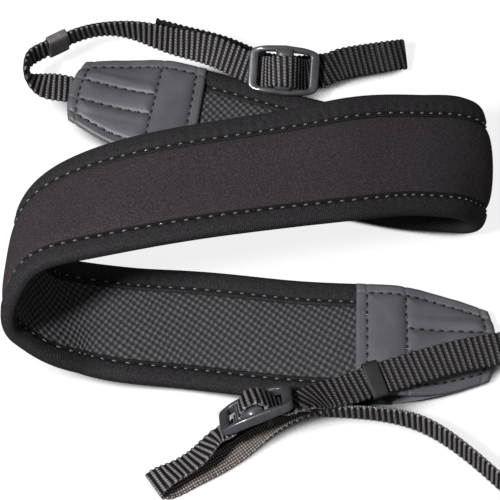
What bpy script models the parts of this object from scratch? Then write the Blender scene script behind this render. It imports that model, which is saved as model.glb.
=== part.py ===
"""A camera neck strap, folded on a table.

World units are metres with +Z up. Every size below is in millimetres and is turned into metres
when a mesh is made. X runs along the front band, Y goes away from its near edge, and z = 0 is
the table.

The soft pieces are sweeps. A route is a short list of stations. Each station holds a point of the
middle line, the direction across the band there, and how far the band's edges cup back from its
middle. A smooth curve through the stations carries a flat profile, whose first coordinate lies
across the band and whose second points out of its face.
"""

from collections import namedtuple

import bmesh
import bpy
import numpy as np
from mathutils import Matrix

MM = 0.001
GAP = 0.3
SMOOTH_ANGLE = 0.7

# The middle of the strap's box on the table, in the routes' own coordinates.
STRAP_MIDDLE = (5.9, -5.6, 0.0)

# Pad: neoprene core, mesh lining under it and a folded tape round each long edge. The thick middle
# of the core and of the lining stands between the tapes, and its half outline is a list of
# distances across and heights.
PAD_HALF_WIDTH = 20.5
TAPE_WIDTH = 7.5
TAPE_THICKNESS = 0.7
TAPE_TOP = 1.9
TAPE_BOTTOM = -2.5
TAPE_CORNER = 1.1
CORE_HALF_WIDTH = 19.5
CORE_BOTTOM = -0.5
CORE_EDGE = 0.8
CORE_MIDDLE = [(12.5, 0.8), (11.8, 1.6), (8.0, 2.2), (2.0, 2.4)]
CORE_TOP_IN_TAB = 1.6
LINING_TOP = -0.8
LINING_EDGE = -1.5
LINING_MIDDLE = [(12.5, -1.5), (10.5, -2.1), (4.0, -2.1)]
COLUMNS_BETWEEN = 3

# Leather tab: the distance from its narrow end, and half its width there. The pad ends inside it,
# and within LEATHER_SLOPE of the pad's end its two sheets come down to the webbing. Beside the webbing
# they stay apart for LEATHER_REACH and meet within LEATHER_FALL. The middle of the narrow edge stands
# out by TAB_TONGUE, and the leather up to TONGUE_LENGTH from that edge with it. The back tab's wide
# edge is cut BACK_TAB_SKEW out of square.
TAB_LENGTH = 41.0
TAB_OUTLINE = [(0.0, 12.0), (3.0, 13.2), (9.0, 15.4), (15.0, 17.1), (21.0, 18.3), (28.0, 19.0), (41.0, 19.3)]
TAB_TONGUE = 2.3
TONGUE_LENGTH = 12.0
BACK_TAB_SKEW = 0.15
LEATHER_THICKNESS = 1.0
LEATHER_REACH = 1.5
LEATHER_FALL = 3.0
LEATHER_SLOPE = 20.0
PAD_IN_TAB = 9.0
TAB_SLOPE = 10.0
TAB_ROWS = 11
TAB_COLUMNS = 9

# Webbing, keeper and slide buckle. The webbing dips by WEBBING_DIP just past each end rail. Half way
# along the buckle its outer sides stand out by OUTER_BULGE and its windows' sides by INNER_BULGE.
# The bar between the windows stands up by BAR_RISE.
WEBBING_WIDTH = 9.6
WEBBING_THICKNESS = 1.3
WEBBING_IN_TAB = 18.0
WEBBING_DIP = 0.6
KEEPER_INSIDE = (10.3, 2.0)
KEEPER_WALL = 0.7
BUCKLE_LENGTH = 23.2
BUCKLE_WIDTH = 13.4
BUCKLE_THICKNESS = 2.4
BUCKLE_END_RAIL = 3.1
BUCKLE_SIDE_RAIL = 1.5
BUCKLE_BAR = 5.8
BAR_TOP = 2.8
BAR_RISE = 2.2
BUCKLE_BOW = 0.5
OUTER_BULGE = 1.5
INNER_BULGE = 0.9
BUCKLE_CORNER = 1.3
BUCKLE_CLEARANCE = 0.42
PAST_BUCKLE = 1.0

# A ring is set after each RING_STEP of length, and a bend of one radian counts as BEND_LENGTH.
RING_STEP = 6.8
BEND_LENGTH = 16.0

Station = namedtuple("Station", "x y z across_x across_y across_z cup", defaults=(0.0,))
Part = namedtuple("Part", "centre along across")

# The pad's middle line, from the narrow end of the front tab to the narrow end of the back tab.
PAD_ROUTE = [
    Station(75.8, -36.0, 2.7, 0.0, 1, 0.00),
    Station(52, -35.4, 3.0, 0.0, 1, 0.00),
    Station(30, -35.0, 3.4, 0.0, 1, 0.00),
    Station(12, -33.6, 2.8, 0.0, 1, 0.00),
    Station(-5, -31.5, 2.6, 0.0, 1, 0.00),
    Station(-22, -29.7, 2.7, 0.0, 1, -0.02),
    Station(-38, -28.7, 3.6, 0.0, 1, -0.06),
    Station(-52.3, -27.1, 5.2, 0.0, 1, -0.12, 0.3),
    Station(-61, -27.2, 9.7, 0.03, 1, -0.20, 0.8),
    Station(-68.1, -25.0, 16.1, 0.17, 1, -0.31, 1.2),
    Station(-71.4, -22.1, 26.0, 0.08, 1, -0.19, 1.5),
    Station(-66.3, -16.1, 38.3, 0.07, 1, -0.25, 0.7),
    Station(-49.7, -11.2, 46.1, 0.01, 1, -0.17, 0.3),
    Station(-20, -5.4, 49.2, 0.0, 1, -0.09),
    Station(10, 1.3, 46.6, 0.0, 1, -0.05),
    Station(28, 6.1, 43.8, 0.0, 1, 0.01),
    Station(43, 11.5, 38.6, 0.0, 1, 0.04, 0.2),
    Station(58, 15.7, 31.9, 0.0, 1, 0.08, 1.0),
    Station(69.3, 19.7, 23.3, 0.19, 1, 0.02, 2.2),
    Station(74.6, 22.1, 14.0, 0.02, 1, 0.09, 3.0),
    Station(69.8, 24.3, 5.6, -0.08, 1, 0.04, 1.8),
    Station(56, 26.0, 3.0, 0.02, 1, 0.02, 0.5),
    Station(36, 30.2, 2.7, 0.0, 1, 0.00),
    Station(12, 36.5, 2.8, 0.0, 1, 0.00),
    Station(-16, 45.4, 3.7, 0.0, 1, 0.00),
    Station(-58.7, 55.7, 8.7, 0.0, 1, -0.06),
]

FRONT_BUCKLE = Part(centre=(1.6, -63.2, 14.8), along=(-0.92, -0.27, -0.27), across=(0.0, -0.8, 0.6))
BACK_BUCKLE = Part(centre=(11.0, 61.1, 11.4), along=(1.0, -0.055, -0.06), across=(0.0, 0.88, 0.47))

# Each webbing in two stretches, up to its buckle and on from it. The ribbed face is the one that
# the profile looks out of. Its start, between the leather sheets of a tab, follows the pad's route.
FRONT_LEAD = [
    Station(81, -38.5, 4.6, 0.0, -1, -0.05),
    Station(85, -40.8, 9.5, 0.0, -1, -0.10),
    Station(80, -42.2, 14.0, 0.1, -1, -0.20),
    Station(71, -43.4, 14.4, 0.2, -1, -0.25),
    Station(59, -45.7, 13.4, 0.2, -1, -0.28),
    Station(47, -49.0, 12.1, 0.2, -1, -0.28),
    Station(38.5, -51.5, 11.4, 0.2, -1, -0.22),
    Station(29, -55.0, 11.5, 0.2, -1, 0.00),
    Station(21, -57.8, 12.6, 0.2, -1, 0.30),
]
FRONT_RETURN = [
    Station(-14.6, -73.8, 6.8, 0.5, -1, 0.80),
    Station(-22, -78.8, 5.4, 0.6, -1, 0.75),
    Station(-26.6, -81.4, 4.8, 0.6, -1, 0.50),
    Station(-28.4, -82.7, 3.1, 0.6, -1, 0.30),
    Station(-26.4, -82.0, 1.6, 0.5, -1, 0.05),
    Station(-19, -78.4, 1.2, 0.5, -1, 0.05),
    Station(-11, -74.0, 1.3, 0.5, -1, 0.10),
    Station(-2, -68.3, 2.1, 0.5, -1, 0.25),
    Station(8, -62.6, 3.7, 0.3, -1, 0.90),
    Station(20, -60.0, 5.2, 0.0, -0.4, 1.00),
    Station(39, -60.2, 5.2, 0.0, -0.1, 1.00),
    Station(51, -63.2, 5.2, 0.0, 0.0, 1.00),
    Station(63, -71.3, 5.2, 0.0, 0.0, 1.00),
    Station(80, -88.5, 5.2, 0.0, 0.0, 1.00),
]
BACK_LEAD = [
    Station(-63.5, 56.1, 9.3, 0.0, -1, -0.05),
    Station(-68.5, 57.0, 9.9, 0.0, -0.95, 0.20),
    Station(-72.3, 59.5, 12.0, 0.0, -0.7, 0.70),
    Station(-72.5, 63.5, 13.2, 0.0, -0.25, 1.00),
    Station(-68.5, 67.2, 13.5, 0.0, -0.12, 1.00),
    Station(-63, 70.4, 13.7, 0.0, -0.2, 1.00),
    Station(-54, 74.4, 14.2, 0.0, -0.25, 1.00),
    Station(-45.5, 75.7, 14.4, 0.0, -0.2, 1.00),
    Station(-37, 75.0, 13.9, 0.0, 0.05, 1.00),
    Station(-25.5, 71.8, 12.9, 0.0, 0.5, 1.00),
    Station(-12, 68.0, 12.4, 0.0, 0.8, 0.70),
]
BACK_RETURN = [
    Station(29, 65.9, 7.9, 0.0, 1, 0.55),
    Station(35, 67.9, 7.4, 0.0, 1, 0.55),
    Station(42, 69.7, 6.6, 0.0, 1, 0.55),
    Station(48.4, 71.0, 6.2, -0.1, 1, 0.52),
    Station(51.2, 72.6, 4.3, -0.1, 1, 0.40),
    Station(49, 73.0, 3.0, -0.1, 1, 0.30),
    Station(38, 70.7, 3.0, 0.0, 1, 0.30),
    Station(22, 67.6, 3.0, 0.0, 1, 0.35),
    Station(4, 67.8, 4.2, 0.0, 1, 0.50),
    Station(-8, 70.4, 8.6, 0.0, 0.75, 0.70),
    Station(-20, 72.7, 11.9, 0.0, 0.5, 1.00),
    Station(-31.5, 75.9, 13.4, 0.0, 0.3, 1.00),
]

Keeper = namedtuple("Keeper", "at length")
FRONT_KEEPER = Keeper(at=84.2, length=4.8)
BACK_KEEPER = Keeper(at=51.5, length=7.0)

Finish = namedtuple("Finish", "colour roughness")
NEOPRENE = Finish((0.050, 0.044, 0.050), 0.95)
MESH = Finish((0.068, 0.066, 0.076), 0.90)
TAPE = Finish((0.030, 0.026, 0.028), 0.90)
LEATHER = Finish((0.120, 0.118, 0.132), 0.45)
WEBBING = Finish((0.060, 0.055, 0.058), 0.80)
PLASTIC = Finish((0.070, 0.070, 0.084), 0.35)


def unit(vectors):
    """Each row divided by its own length."""
    return vectors / np.linalg.norm(vectors, axis=-1, keepdims=True)


def smooth(t):
    """0 below t = 0, 1 above t = 1, and 3 t squared minus 2 t cubed between."""
    t = np.clip(t, 0.0, 1.0)
    return t * t * (3.0 - 2.0 * t)


def natural_spline(knots, values, at):
    """The natural cubic spline through values at the knots, read at the given places.

    The second derivatives m are zero at both ends, and at each inner knot
    h0 m0 + 2 (h0 + h1) m1 + h1 m2 is six times the change of slope.
    """
    steps = np.diff(knots)
    slopes = np.diff(values, axis=0) / steps[:, None]
    matrix = np.eye(len(knots))
    right = np.zeros_like(values)
    for i in range(1, len(knots) - 1):
        matrix[i, i - 1:i + 2] = steps[i - 1], 2.0 * (steps[i - 1] + steps[i]), steps[i]
        right[i] = 6.0 * (slopes[i] - slopes[i - 1])
    second = np.linalg.solve(matrix, right)
    i = np.clip(np.searchsorted(knots, at) - 1, 0, len(steps) - 1)
    h = steps[i][:, None]
    before = (at - knots[i])[:, None]
    after = h - before
    return ((second[i] * after ** 3 + second[i + 1] * before ** 3) / (6.0 * h)
            + (values[i] / h - second[i] * h / 6.0) * after
            + (values[i + 1] / h - second[i + 1] * h / 6.0) * before)


class Ribbon:
    """A smooth curve with a direction across it and one out of its face at every length."""

    SAMPLES = 3000

    def __init__(self, route):
        stations = np.array(route, float)
        chords = np.linalg.norm(np.diff(stations[:, :3], axis=0), axis=1)
        knots = np.concatenate([[0.0], np.cumsum(chords)])
        values = natural_spline(knots, stations, np.linspace(0.0, knots[-1], self.SAMPLES))
        self.centre = values[:, :3]
        self.along = unit(np.gradient(self.centre, axis=0))
        across = values[:, 3:6]
        self.across = unit(across - np.sum(across * self.along, axis=1, keepdims=True) * self.along)
        self.out = np.cross(self.along, self.across)
        self.cup = values[:, 6:]
        steps = np.linalg.norm(np.diff(self.centre, axis=0), axis=1)
        bends = np.linalg.norm(np.diff(self.along, axis=0), axis=1)
        bends += np.linalg.norm(np.diff(self.across, axis=0), axis=1)
        self.lengths = np.concatenate([[0.0], np.cumsum(steps)])
        self.measure = np.concatenate([[0.0], np.cumsum(steps + BEND_LENGTH * bends)])
        self.length = self.lengths[-1]

    def read(self, table, length):
        """One of the ribbon's tables at a length, or at several."""
        return np.stack([np.interp(length, self.lengths, column) for column in table.T], axis=-1)

    def place(self, length, across, out):
        """The point at a length, a distance across and a distance out of the face.

        A cupped band's edges lie back from its middle by the cup at the pad's half width, and by
        the square of the distance across elsewhere.
        """
        across = np.expand_dims(across, -1)
        out = np.expand_dims(out, -1) - self.read(self.cup, length) * (across / PAD_HALF_WIDTH) ** 2
        return self.read(self.centre, length) + across * self.read(self.across, length) \
            + out * self.read(self.out, length)

    def ring_lengths(self, start, end):
        """Lengths from start to end that lie closer where the ribbon bends."""
        first, last = np.interp([start, end], self.lengths, self.measure)
        count = int(np.ceil((last - first) / RING_STEP)) + 1
        return np.interp(np.linspace(first, last, count), self.measure, self.lengths)


def material(name, finish):
    """A plain Principled material."""
    result = bpy.data.materials.get(name)
    if result is None:
        result = bpy.data.materials.new(name)
        result.use_nodes = True
        shader = result.node_tree.nodes["Principled BSDF"]
        shader.inputs["Base Color"].default_value = (*finish.colour, 1.0)
        shader.inputs["Roughness"].default_value = finish.roughness
        shader.inputs["Metallic"].default_value = 0.0
    return result


def add_object(name, points, faces, finish_name, finish):
    """An object from points in millimetres, hung from the strap's empty."""
    mesh = bpy.data.meshes.new(name)
    mesh.from_pydata((np.asarray(points) * MM).tolist(), [], faces)
    mesh.materials.append(material(finish_name, finish))
    mesh.shade_smooth()
    mesh.set_sharp_from_angle(angle=SMOOTH_ANGLE)
    piece = bpy.data.objects.new(name, mesh)
    bpy.context.collection.objects.link(piece)
    piece.parent = STRAP
    return piece


def sweep(name, ribbon, lengths, profiles, finish_name, finish):
    """A closed solid: one ring for each length, joined to the next one, with a cap at both ends.

    profiles holds a closed outline for every ring, anticlockwise when seen against the ribbon.
    """
    rings = ribbon.place(lengths[:, None], profiles[..., 0], profiles[..., 1])
    count, sides = rings.shape[:2]
    faces = [list(range(sides))[::-1], [(count - 1) * sides + i for i in range(sides)]]
    for ring in range(count - 1):
        for side in range(sides):
            near = ring * sides + side
            far = ring * sides + (side + 1) % sides
            faces.append([near, far, far + sides, near + sides])
    add_object(name, rings.reshape(-1, 3), faces, finish_name, finish)


def mirrored(half):
    """An outline from its half at positive x: the half, then its mirror image backwards."""
    return half + [(-x, y) for x, y in reversed(half)]


def repeated(outline, lengths):
    """The same outline for every length."""
    return np.tile(np.array(outline, float), (len(lengths), 1, 1))


def build_pad(pad):
    """The core, its lining and the two folded tapes, between the tabs."""
    inside_tab = TAB_TONGUE + TAB_LENGTH - PAD_IN_TAB
    lengths = pad.ring_lengths(inside_tab, pad.length - inside_tab)
    between = np.linspace(-CORE_HALF_WIDTH, CORE_HALF_WIDTH, COLUMNS_BETWEEN + 2)[1:-1]

    core = repeated([(x, CORE_BOTTOM) for x in between] + mirrored([
        (CORE_HALF_WIDTH, CORE_BOTTOM),
        (CORE_HALF_WIDTH, CORE_EDGE),
        *CORE_MIDDLE,
    ]), lengths)
    from_end = np.minimum(lengths - lengths[0], lengths[-1] - lengths)
    flat = 1.0 - smooth((from_end - PAD_IN_TAB) / TAB_SLOPE)[:, None]
    core[..., 1] -= flat * np.maximum(core[..., 1] - CORE_TOP_IN_TAB, 0.0)
    sweep("neoprene_pad", pad, lengths, core, "neoprene", NEOPRENE)

    lining = repeated([(x, LINING_TOP) for x in reversed(between)] + mirrored([
        (CORE_HALF_WIDTH, LINING_TOP),
        (CORE_HALF_WIDTH, LINING_EDGE),
        *LINING_MIDDLE,
    ])[::-1], lengths)
    sweep("mesh_lining", pad, lengths, lining, "mesh", MESH)

    seam = PAD_HALF_WIDTH - TAPE_WIDTH
    tape = [
        (seam, TAPE_BOTTOM),
        (PAD_HALF_WIDTH - TAPE_CORNER, TAPE_BOTTOM),
        (PAD_HALF_WIDTH, TAPE_BOTTOM + TAPE_CORNER),
        (PAD_HALF_WIDTH, TAPE_TOP - TAPE_CORNER),
        (PAD_HALF_WIDTH - TAPE_CORNER, TAPE_TOP),
        (seam, TAPE_TOP),
        (seam, TAPE_TOP - TAPE_THICKNESS),
        (PAD_HALF_WIDTH - TAPE_THICKNESS, TAPE_TOP - TAPE_THICKNESS),
        (PAD_HALF_WIDTH - TAPE_THICKNESS, TAPE_BOTTOM + TAPE_THICKNESS),
        (seam, TAPE_BOTTOM + TAPE_THICKNESS),
    ]
    sweep("binding_far", pad, lengths, repeated(tape, lengths), "binding", TAPE)
    near = [(-x, y) for x, y in reversed(tape)]
    sweep("binding_near", pad, lengths, repeated(near, lengths), "binding", TAPE)


def build_tab(name, pad, narrow_end, inward, skew, side):
    """One leather sheet of a tab.

    narrow_end is the length of its narrow corners on the pad's ribbon, and inward is the way to the
    pad from there. Its wide edge is out of square by the skew. Its inner face lies on the pad's edge
    tapes at the wide end, and comes down to the webbing at the narrow end and to the other sheet
    beside it.
    """
    from_end = np.linspace(0.0, TAB_LENGTH, TAB_ROWS)
    fraction = np.linspace(-1.0, 1.0, TAB_COLUMNS)
    half_width = np.interp(from_end, *np.transpose(TAB_OUTLINE))
    across = half_width[:, None] * fraction
    pad_face = (TAPE_TOP if side > 0 else -TAPE_BOTTOM) + GAP
    from_webbing = np.abs(across) - WEBBING_WIDTH / 2 - LEATHER_REACH
    beside = GAP / 2 + (WEBBING_THICKNESS / 2 + GAP / 2) * (1.0 - smooth(from_webbing / LEATHER_FALL))
    on_pad = smooth((from_end - (TAB_LENGTH - PAD_IN_TAB - LEATHER_SLOPE)) / (LEATHER_SLOPE - 1.0))[:, None]
    inner = beside + on_pad * (pad_face - beside)
    tongue = TAB_TONGUE * (1.0 - fraction ** 2) * np.maximum(1.0 - from_end[:, None] / TONGUE_LENGTH, 0.0)
    askew = skew * across * (from_end[:, None] / TAB_LENGTH) ** 2
    lengths = narrow_end + inward * (from_end[:, None] - tongue - askew)

    sheets = [pad.place(lengths, across, side * (inner + extra)) for extra in (0.0, LEATHER_THICKNESS)]
    points = np.concatenate([sheet.reshape(-1, 3) for sheet in sheets])
    size = TAB_ROWS * TAB_COLUMNS
    faces = []
    for row in range(TAB_ROWS - 1):
        for column in range(TAB_COLUMNS - 1):
            corner = row * TAB_COLUMNS + column
            quad = [corner, corner + 1, corner + TAB_COLUMNS + 1, corner + TAB_COLUMNS]
            faces.append(quad)
            faces.append([size + i for i in reversed(quad)])
    rim = [column for column in range(TAB_COLUMNS)]
    rim += [row * TAB_COLUMNS + TAB_COLUMNS - 1 for row in range(1, TAB_ROWS)]
    rim += [size - 1 - column for column in range(1, TAB_COLUMNS)]
    rim += [row * TAB_COLUMNS for row in range(TAB_ROWS - 2, 0, -1)]
    for here, there in zip(rim, rim[1:] + rim[:1]):
        faces.append([there, here, here + size, there + size])
    if side * inward < 0:
        faces = [face[::-1] for face in faces]
    add_object(name, points, faces, "leather", LEATHER)


def frame_of(part):
    """The three axes of a straight part: along the webbing, across it and out of its face."""
    along = unit(np.asarray(part.along))
    across = unit(part.across - np.dot(part.across, along) * along)
    return along, across, np.cross(along, across)


def set_place(piece, part):
    """Puts a piece's own X along the webbing, its Y across it and its Z out of its face."""
    turn = Matrix(np.stack(frame_of(part), axis=1).tolist())
    piece.matrix_local = Matrix.Translation(np.asarray(part.centre) * MM) @ turn.to_4x4()


def through_buckle(buckle, sideways, lean=0.0):
    """Stations that take the webbing under one end rail, over the bar and under the other.

    Over the bar it lies sideways of the middle, and past the rails it has moved across by the lean.
    """
    along, across, out = frame_of(buckle)
    under = -BUCKLE_THICKNESS / 2 - BUCKLE_CLEARANCE - WEBBING_THICKNESS / 2 - BUCKLE_BOW
    over = BUCKLE_THICKNESS / 2 + BAR_RISE + BUCKLE_CLEARANCE + WEBBING_THICKNESS / 2
    past = (BUCKLE_LENGTH / 2 + PAST_BUCKLE, lean, under - WEBBING_DIP)
    rail = (BUCKLE_LENGTH / 2 - BUCKLE_END_RAIL, sideways / 2, under)
    bar = (BAR_TOP / 2, sideways, over)
    waypoints = [(-s, c, n) for s, c, n in (past, rail, bar)] + [bar, rail, past]
    return [Station(*(buckle.centre + s * along + c * across + n * out), *across) for s, c, n in waypoints]


def between_sheets(pad, narrow_end, inward, ribs):
    """Stations from inside a tab to its narrow end, on the pad's middle line.

    The webbing's ribbed face looks up where ribs is 1, and down where it is -1.
    """
    lengths = narrow_end + inward * np.linspace(WEBBING_IN_TAB, 0.0, 4)
    points, across = pad.read(pad.centre, lengths), pad.read(pad.across, lengths)
    return [Station(*point, *(ribs * inward * way)) for point, way in zip(points, across)]


def build_webbing(name, ribbon):
    """The flat strap in one length."""
    half, thick = WEBBING_WIDTH / 2, WEBBING_THICKNESS / 2
    lengths = ribbon.ring_lengths(0.0, ribbon.length)
    outline = [(half, -thick), (half, thick), (-half, thick), (-half, -thick)]
    sweep(name, ribbon, lengths, repeated(outline, lengths), "webbing", WEBBING)


def build_keeper(name, ribbon, keeper):
    """A short sleeve round the webbing, its axis along the webbing there."""
    inner = np.array(KEEPER_INSIDE) / 2
    outer = inner + KEEPER_WALL
    corners = np.array([(1, -1), (1, 1), (-1, 1), (-1, -1)])
    loops = [(end * keeper.length / 2, corners * half) for end in (-1, 1) for half in (inner, outer)]
    points = np.array([(x, *corner) for x, loop in loops for corner in loop])
    faces = []
    for i in range(4):
        j = (i + 1) % 4
        faces.append([i, j, 8 + j, 8 + i][::-1])
        faces.append([4 + i, 4 + j, 12 + j, 12 + i])
        faces.append([i, j, 4 + j, 4 + i])
        faces.append([8 + i, 8 + j, 12 + j, 12 + i][::-1])
    piece = add_object(name, points, faces, "plastic", PLASTIC)
    tables = (ribbon.centre, ribbon.along, ribbon.across)
    set_place(piece, Part(*(ribbon.read(table, keeper.at) for table in tables)))


def build_buckle(name, buckle):
    """A three-bar slide: a plate with two windows, bowed along the webbing, its sides bulged."""
    end, side, bar, top_of_bar = BUCKLE_LENGTH / 2, BUCKLE_WIDTH / 2, BUCKLE_BAR / 2, BAR_TOP / 2
    window = end - BUCKLE_END_RAIL
    half_lines = np.array([top_of_bar, bar, (window + bar) / 2, window, end])
    x_lines = np.concatenate([-half_lines[::-1], half_lines])
    y_lines = np.array([-side, -side + BUCKLE_SIDE_RAIL, side - BUCKLE_SIDE_RAIL, side])
    grid = bmesh.new()
    corners = [[grid.verts.new((x, y, -BUCKLE_THICKNESS / 2)) for y in y_lines] for x in x_lines]
    for i in range(len(x_lines) - 1):
        for j in range(len(y_lines) - 1):
            open_cell = j == 1 and i in (1, 2, 6, 7)
            if not open_cell:
                grid.faces.new([corners[i][j], corners[i][j + 1], corners[i + 1][j + 1], corners[i + 1][j]])
    lifted = bmesh.ops.extrude_face_region(grid, geom=grid.faces[:])["geom"]
    top = [item for item in lifted if isinstance(item, bmesh.types.BMVert)]
    bmesh.ops.translate(grid, verts=top, vec=(0.0, 0.0, BUCKLE_THICKNESS))
    bmesh.ops.recalc_face_normals(grid, faces=grid.faces[:])
    past_window, past_rail = end - BUCKLE_END_RAIL / 2, side - BUCKLE_SIDE_RAIL / 2
    posts = [edge for edge in grid.edges
             if all(abs(v.co.x) > past_window and abs(v.co.y) > past_rail for v in edge.verts)]
    bmesh.ops.bevel(grid, geom=posts, offset=BUCKLE_CORNER, segments=2, profile=0.5, affect="EDGES")
    for vertex in top:
        if vertex.is_valid and abs(vertex.co.x) < bar and abs(vertex.co.y) < past_rail:
            vertex.co.z += BAR_RISE
    for vertex in grid.verts:
        to_end = (vertex.co.x / end) ** 2
        bulge = np.interp(abs(vertex.co.y), (side - BUCKLE_SIDE_RAIL, side), (INNER_BULGE, OUTER_BULGE))
        vertex.co.y += np.sign(vertex.co.y) * bulge * (1.0 - to_end)
        vertex.co.z -= BUCKLE_BOW * to_end
    points = [tuple(vertex.co) for vertex in grid.verts]
    grid.verts.index_update()
    faces = [[vertex.index for vertex in face.verts] for face in grid.faces]
    grid.free()
    piece = add_object(name, points, faces, "plastic", PLASTIC)
    set_place(piece, buckle)


for old in list(bpy.data.objects):
    bpy.data.objects.remove(old)

STRAP = bpy.data.objects.new("strap", None)
bpy.context.collection.objects.link(STRAP)
STRAP.location = [-value * MM for value in STRAP_MIDDLE]

pad_ribbon = Ribbon(PAD_ROUTE)
build_pad(pad_ribbon)
front_end, back_end = TAB_TONGUE, pad_ribbon.length - TAB_TONGUE
tab_ends = (("front", front_end, 1.0, 0.0), ("back", back_end, -1.0, BACK_TAB_SKEW))
for end_name, narrow_end, inward, skew in tab_ends:
    build_tab(f"tab_{end_name}_face", pad_ribbon, narrow_end, inward, skew, side=-1)
    build_tab(f"tab_{end_name}_outer", pad_ribbon, narrow_end, inward, skew, side=1)

front_start = between_sheets(pad_ribbon, front_end, inward=1.0, ribs=-1.0)
back_start = between_sheets(pad_ribbon, back_end, inward=-1.0, ribs=1.0)
front_webbing = Ribbon(front_start + FRONT_LEAD + through_buckle(FRONT_BUCKLE, 0.7) + FRONT_RETURN)
back_webbing = Ribbon(back_start + BACK_LEAD + through_buckle(BACK_BUCKLE, -0.7, lean=1.0) + BACK_RETURN)
build_webbing("webbing_front", front_webbing)
build_webbing("webbing_back", back_webbing)
build_keeper("keeper_front", front_webbing, FRONT_KEEPER)
build_keeper("keeper_back", back_webbing, BACK_KEEPER)
build_buckle("buckle_front", FRONT_BUCKLE)
build_buckle("buckle_back", BACK_BUCKLE)
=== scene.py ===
"""A padded camera neck strap, folded in an S and laid on a table.

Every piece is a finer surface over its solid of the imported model, in the same place, and the
stitches lie on such pieces. Routes and sizes are in millimetres and become metres when a mesh is
made. X runs along the front band, Y goes away from its near edge, and z = 0 is the table.
"""

from collections import namedtuple

import bpy
import numpy as np
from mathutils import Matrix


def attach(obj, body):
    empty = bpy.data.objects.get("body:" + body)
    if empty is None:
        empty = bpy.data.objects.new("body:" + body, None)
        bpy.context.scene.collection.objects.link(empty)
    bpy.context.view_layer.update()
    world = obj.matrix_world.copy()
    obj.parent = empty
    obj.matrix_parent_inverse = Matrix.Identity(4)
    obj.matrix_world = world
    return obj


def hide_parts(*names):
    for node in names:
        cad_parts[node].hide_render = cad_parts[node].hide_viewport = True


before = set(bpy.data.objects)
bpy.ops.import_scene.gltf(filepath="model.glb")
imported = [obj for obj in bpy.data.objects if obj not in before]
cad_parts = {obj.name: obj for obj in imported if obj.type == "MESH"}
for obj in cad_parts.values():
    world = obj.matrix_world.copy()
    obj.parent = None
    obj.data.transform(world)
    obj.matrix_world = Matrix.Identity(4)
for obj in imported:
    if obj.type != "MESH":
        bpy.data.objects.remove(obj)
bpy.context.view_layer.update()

# ------------------------------------------------------------------------------ neoprene pad
# The body of the strap is a long strip of neoprene foam with a smooth knitted face. It turns twice
# on its way from the front tab to the back tab, and its face swells between the two edge tapes. The
# seams lie SEAMS_SHIFT off the middle, because the near tape is narrower than the far one.

MM = 0.001
STRAP_MIDDLE = (5.9, -5.6, 0.0)
PAD_HALF_WIDTH = 20.5
PAD_IN_TAB = 9.0
TAB_LENGTH = 41.0
TAB_SLOPE = 10.0
TAB_TONGUE = 2.3
CORE_HALF_WIDTH = 19.5
CORE_BOTTOM = -0.5
CORE_EDGE = 0.8
CORE_TOP_IN_TAB = 1.6
SEAM = 13.1
SEAMS_SHIFT = -0.65
SEAM_HEIGHT = 1.15
CROWN = 2.4
PAD_RING_STEP = 0.55
CORE_COLUMNS = 79
FLAT_COLUMNS = 9
SWELL_POWER = 5
SHOULDER_POWER = 0.6
SEAM_BLUR = 0.5
SEAM_DARKNESS = 0.9
KNIT_DARK = (0.022, 0.017, 0.020)
KNIT_LIGHT = (0.060, 0.049, 0.056)
KNIT_FADED = (0.026, 0.021, 0.024)
# The next colour is painted shade, for the knit at its seams.
KNIT_SEAM_SHADE = (0.003, 0.002, 0.003)
KNIT_FADING = 0.35
KNIT_LUMPS = 0.6

Station = namedtuple("Station", "x y z across_x across_y across_z cup", defaults=(0.0,))

# The pad's middle line, the direction across the band, and how far its edges cup back.
PAD_ROUTE = [
    Station(75.8, -36.0, 2.7, 0.0, 1, 0.00),
    Station(52, -35.4, 3.0, 0.0, 1, 0.00),
    Station(30, -35.0, 3.4, 0.0, 1, 0.00),
    Station(12, -33.6, 2.8, 0.0, 1, 0.00),
    Station(-5, -31.5, 2.6, 0.0, 1, 0.00),
    Station(-22, -29.7, 2.7, 0.0, 1, -0.02),
    Station(-38, -28.7, 3.6, 0.0, 1, -0.06),
    Station(-52.3, -27.1, 5.2, 0.0, 1, -0.12, 0.3),
    Station(-61, -27.2, 9.7, 0.03, 1, -0.20, 0.8),
    Station(-68.1, -25.0, 16.1, 0.17, 1, -0.31, 1.2),
    Station(-71.4, -22.1, 26.0, 0.08, 1, -0.19, 1.5),
    Station(-66.3, -16.1, 38.3, 0.07, 1, -0.25, 0.7),
    Station(-49.7, -11.2, 46.1, 0.01, 1, -0.17, 0.3),
    Station(-20, -5.4, 49.2, 0.0, 1, -0.09),
    Station(10, 1.3, 46.6, 0.0, 1, -0.05),
    Station(28, 6.1, 43.8, 0.0, 1, 0.01),
    Station(43, 11.5, 38.6, 0.0, 1, 0.04, 0.2),
    Station(58, 15.7, 31.9, 0.0, 1, 0.08, 1.0),
    Station(69.3, 19.7, 23.3, 0.19, 1, 0.02, 2.2),
    Station(74.6, 22.1, 14.0, 0.02, 1, 0.09, 3.0),
    Station(69.8, 24.3, 5.6, -0.08, 1, 0.04, 1.8),
    Station(56, 26.0, 3.0, 0.02, 1, 0.02, 0.5),
    Station(36, 30.2, 2.7, 0.0, 1, 0.00),
    Station(12, 36.5, 2.8, 0.0, 1, 0.00),
    Station(-16, 45.4, 3.7, 0.0, 1, 0.00),
    Station(-58.7, 55.7, 8.7, 0.0, 1, -0.06),
]


def unit(vectors):
    """Each row divided by its own length."""
    return vectors / np.linalg.norm(vectors, axis=-1, keepdims=True)


def smooth(t):
    """0 below t = 0, 1 above t = 1, and 3 t squared minus 2 t cubed between."""
    t = np.clip(t, 0.0, 1.0)
    return t * t * (3.0 - 2.0 * t)


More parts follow.
